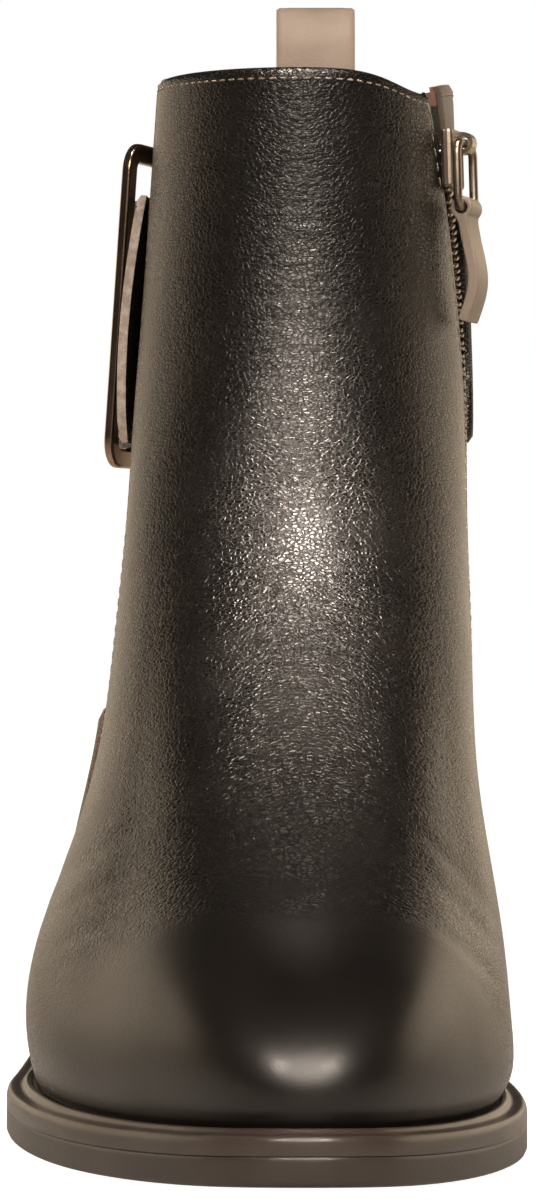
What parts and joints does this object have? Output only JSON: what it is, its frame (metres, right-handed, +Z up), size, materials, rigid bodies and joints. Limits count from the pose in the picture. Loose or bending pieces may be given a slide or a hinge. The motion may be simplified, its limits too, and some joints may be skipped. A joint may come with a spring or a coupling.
{
  "type": "heeled ankle boot",
  "caption": "Right ankle boot with a block heel, an inner side zip, a wide back strap threaded through a metal slide and a pull loop at the back of the collar.",
  "frame": {"origin": "on the floor under the middle of the boot's box", "axes": "+Z up, -Y towards the toe, +X towards the inner side of the foot"},
  "size_m": [0.0914, 0.2511, 0.2204],
  "materials": {
    "black_leather": "finely grained, satin",
    "taupe_leather": "smooth, satin",
    "lining_leather": "soft, matt",
    "sole_rubber": "moulded, satin edge",
    "welt": "burnished, satin",
    "heel_block": "lacquered, satin",
    "bronze_metal": "brushed, pale bronze plate",
    "zip_tape": "woven, matt"
  },
  "bodies": {
    "boot": {"upper": "black_leather", "insole": "lining_leather", "outsole": "sole_rubber", "welt": "welt", "heel": "heel_block", "heel_counter": "taupe_leather", "back_strap": "black_leather", "strap_slide": "bronze_metal", "pull_loop": "taupe_leather", "zip_tape": "zip_tape", "zip_chain": "bronze_metal", "zip_slider": "bronze_metal"},
    "zip_pull": {"pull_ring": "bronze_metal", "pull_tab": "taupe_leather"}
  },
  "joints": [
    {"name": "zip_pull_swing", "type": "hinge", "parent": "boot", "child": "zip_pull", "pos_m": [0.03917, 0.05921, 0.18463], "axis": [-0.3488, -0.9372, 0], "range_deg": [0, 140]}
  ]
}
